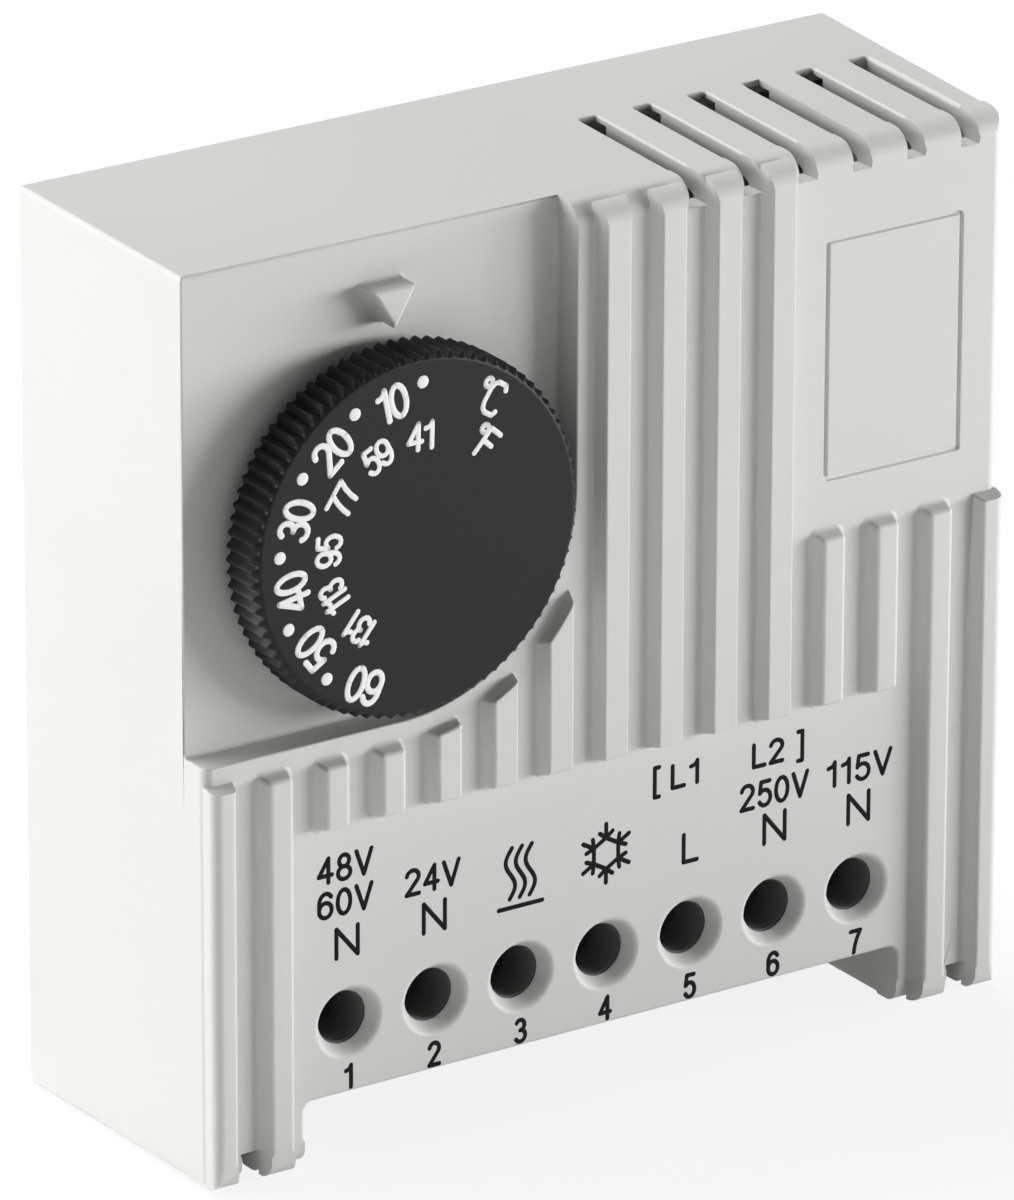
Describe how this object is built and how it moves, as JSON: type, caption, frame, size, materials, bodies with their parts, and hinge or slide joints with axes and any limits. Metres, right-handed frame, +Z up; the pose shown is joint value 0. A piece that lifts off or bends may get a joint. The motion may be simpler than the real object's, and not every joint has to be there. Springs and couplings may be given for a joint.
{
  "type": "din rail thermostat",
  "caption": "Room thermostat for 35 mm rail with a ribbed cover, setting dial, cage terminals, bimetal changeover switch and sprung latch.",
  "frame": {"origin": "middle of the seat plane that rests on the 35 mm rail: the middle of the housing's width and of the rail's height", "axes": "+X to the right seen from the dial side, +Y from the face towards the rail, +Z up"},
  "size_m": [0.071, 0.0335, 0.071],
  "materials": {
    "cover_plastic": "fine satin moulding",
    "base_plastic": "satin moulding",
    "latch_plastic": "satin moulding",
    "dial_plastic": "matt dark grey",
    "brass": "turned",
    "spring_steel": "drawn",
    "zinc_steel": "zinc plated",
    "bimetal": "rolled",
    "rivet_copper": "bare",
    "soft_iron": "bare",
    "ferrite": "matt",
    "inner_plastic": "moulded",
    "contact_silver": "bright",
    "arm_copper": "rolled",
    "board_laminate": "satin laminate",
    "resistor_coat": "cement coating",
    "block_plastic": "moulded",
    "screw_steel": "zinc plated",
    "clamp_steel": "zinc plated",
    "strip_copper": "tinned brass"
  },
  "bodies": {
    "base": {"front_cover": "cover_plastic", "base_plate": "base_plastic", "latch_spring": "spring_steel", "spindle_bush": "brass", "switch_frame": "zinc_steel", "frame_screws": "zinc_steel", "lever_pin": "zinc_steel", "snap_magnet": "ferrite", "magnet_holder": "inner_plastic", "heating_contact": "contact_silver", "heating_arm": "arm_copper", "cooling_contact": "contact_silver", "cooling_arm": "arm_copper", "contact_carrier": "inner_plastic", "circuit_board": "board_laminate", "resistor_24v": "resistor_coat", "resistor_48v": "resistor_coat", "resistor_115v": "resistor_coat", "resistor_250v": "resistor_coat", "terminal_block": "block_plastic", "cover_screws": "zinc_steel", "conductor_strip_1": "strip_copper", "conductor_strip_2": "strip_copper", "conductor_strip_3": "strip_copper", "conductor_strip_4": "strip_copper", "conductor_strip_5": "strip_copper", "conductor_strip_6": "strip_copper", "conductor_strip_7": "strip_copper"},
    "dial": {"dial_knob": "dial_plastic", "stop_peg": "dial_plastic", "dial_spindle": "brass", "spindle_clip": "spring_steel"},
    "nut": {"setting_nut": "brass"},
    "lever": {"setting_lever": "zinc_steel", "bimetal_root": "bimetal", "bimetal_rivets": "rivet_copper"},
    "bimetal": {"bimetal_strip": "bimetal", "armature": "soft_iron"},
    "blade": {"contact_blade": "spring_steel", "moving_contacts": "contact_silver"},
    "latch": {"rail_latch": "latch_plastic"},
    "screw_1": {"terminal_screw_1": "screw_steel"},
    "clamp_1": {"wire_clamp_1": "clamp_steel"},
    "screw_2": {"terminal_screw_2": "screw_steel"},
    "clamp_2": {"wire_clamp_2": "clamp_steel"},
    "screw_3": {"terminal_screw_3": "screw_steel"},
    "clamp_3": {"wire_clamp_3": "clamp_steel"},
    "screw_4": {"terminal_screw_4": "screw_steel"},
    "clamp_4": {"wire_clamp_4": "clamp_steel"},
    "screw_5": {"terminal_screw_5": "screw_steel"},
    "clamp_5": {"wire_clamp_5": "clamp_steel"},
    "screw_6": {"terminal_screw_6": "screw_steel"},
    "clamp_6": {"wire_clamp_6": "clamp_steel"},
    "screw_7": {"terminal_screw_7": "screw_steel"},
    "clamp_7": {"wire_clamp_7": "clamp_steel"}
  },
  "joints": [
    {"name": "dial_turn", "type": "hinge", "parent": "base", "child": "dial", "pos_m": [-0.0181, 0, 0.01315], "axis": [0, 1, 0], "range_deg": [0, 158]},
    {"name": "nut_slide", "type": "slide", "parent": "base", "child": "nut", "axis": [0, 1, 0], "range_m": [0, 0.0012]},
    {"name": "lever_rock", "type": "hinge", "parent": "base", "child": "lever", "pos_m": [-0.0181, -0.00892, 0.00325], "axis": [-1, 0, 0], "range_deg": [0, 7]},
    {"name": "bimetal_flex", "type": "hinge", "parent": "lever", "child": "bimetal", "pos_m": [-0.01445, -0.00977, 0.02175], "axis": [0, 0, 1], "range_deg": [0, 2], "stiffness_Nm_per_rad": 0.2},
    {"name": "blade_flex", "type": "hinge", "parent": "base", "child": "blade", "pos_m": [0.0218, -0.01067, -0.004], "axis": [-1, 0, 0], "range_deg": [0, 2.8]},
    {"name": "latch_slide", "type": "slide", "parent": "base", "child": "latch", "axis": [0, 0, -1], "range_m": [0, 0.003], "stiffness_N_per_m": 600, "deforming": ["latch_spring"]},
    {"name": "screw_turn_1", "type": "hinge", "parent": "base", "child": "screw_1", "pos_m": [-0.02265, 0, -0.02478], "axis": [0, 1, 0], "range_deg": [0, 1080]},
    {"name": "clamp_slide_1", "type": "slide", "parent": "base", "child": "clamp_1", "axis": [0, -1, 0], "range_m": [0, 0.0021]},
    {"name": "screw_turn_2", "type": "hinge", "parent": "base", "child": "screw_2", "pos_m": [-0.0151, 0, -0.02478], "axis": [0, 1, 0], "range_deg": [0, 1080]},
    {"name": "clamp_slide_2", "type": "slide", "parent": "base", "child": "clamp_2", "axis": [0, -1, 0], "range_m": [0, 0.0021]},
    {"name": "screw_turn_3", "type": "hinge", "parent": "base", "child": "screw_3", "pos_m": [-0.00755, 0, -0.02478], "axis": [0, 1, 0], "range_deg": [0, 1080]},
    {"name": "clamp_slide_3", "type": "slide", "parent": "base", "child": "clamp_3", "axis": [0, -1, 0], "range_m": [0, 0.0021]},
    {"name": "screw_turn_4", "type": "hinge", "parent": "base", "child": "screw_4", "pos_m": [0, 0, -0.02478], "axis": [0, 1, 0], "range_deg": [0, 1080]},
    {"name": "clamp_slide_4", "type": "slide", "parent": "base", "child": "clamp_4", "axis": [0, -1, 0], "range_m": [0, 0.0021]},
    {"name": "screw_turn_5", "type": "hinge", "parent": "base", "child": "screw_5", "pos_m": [0.00755, 0, -0.02478], "axis": [0, 1, 0], "range_deg": [0, 1080]},
    {"name": "clamp_slide_5", "type": "slide", "parent": "base", "child": "clamp_5", "axis": [0, -1, 0], "range_m": [0, 0.0021]},
    {"name": "screw_turn_6", "type": "hinge", "parent": "base", "child": "screw_6", "pos_m": [0.0151, 0, -0.02478], "axis": [0, 1, 0], "range_deg": [0, 1080]},
    {"name": "clamp_slide_6", "type": "slide", "parent": "base", "child": "clamp_6", "axis": [0, -1, 0], "range_m": [0, 0.0021]},
    {"name": "screw_turn_7", "type": "hinge", "parent": "base", "child": "screw_7", "pos_m": [0.02265, 0, -0.02478], "axis": [0, 1, 0], "range_deg": [0, 1080]},
    {"name": "clamp_slide_7", "type": "slide", "parent": "base", "child": "clamp_7", "axis": [0, -1, 0], "range_m": [0, 0.0021]}
  ],
  "couplings": [
    {"joint": "dial_turn", "follows": "nut_slide", "rad_per_m": 2298},
    {"joint": "lever_rock", "follows": "nut_slide", "rad_per_m": 101.81},
    {"joint": "blade_flex", "follows": "bimetal_flex", "ratio": 1.3999},
    {"joint": "screw_turn_1", "follows": "clamp_slide_1", "rad_per_m": 8975.9},
    {"joint": "screw_turn_2", "follows": "clamp_slide_2", "rad_per_m": 8975.9},
    {"joint": "screw_turn_3", "follows": "clamp_slide_3", "rad_per_m": 8975.9},
    {"joint": "screw_turn_4", "follows": "clamp_slide_4", "rad_per_m": 8975.9},
    {"joint": "screw_turn_5", "follows": "clamp_slide_5", "rad_per_m": 8975.9},
    {"joint": "screw_turn_6", "follows": "clamp_slide_6", "rad_per_m": 8975.9},
    {"joint": "screw_turn_7", "follows": "clamp_slide_7", "rad_per_m": 8975.9}
  ]
}
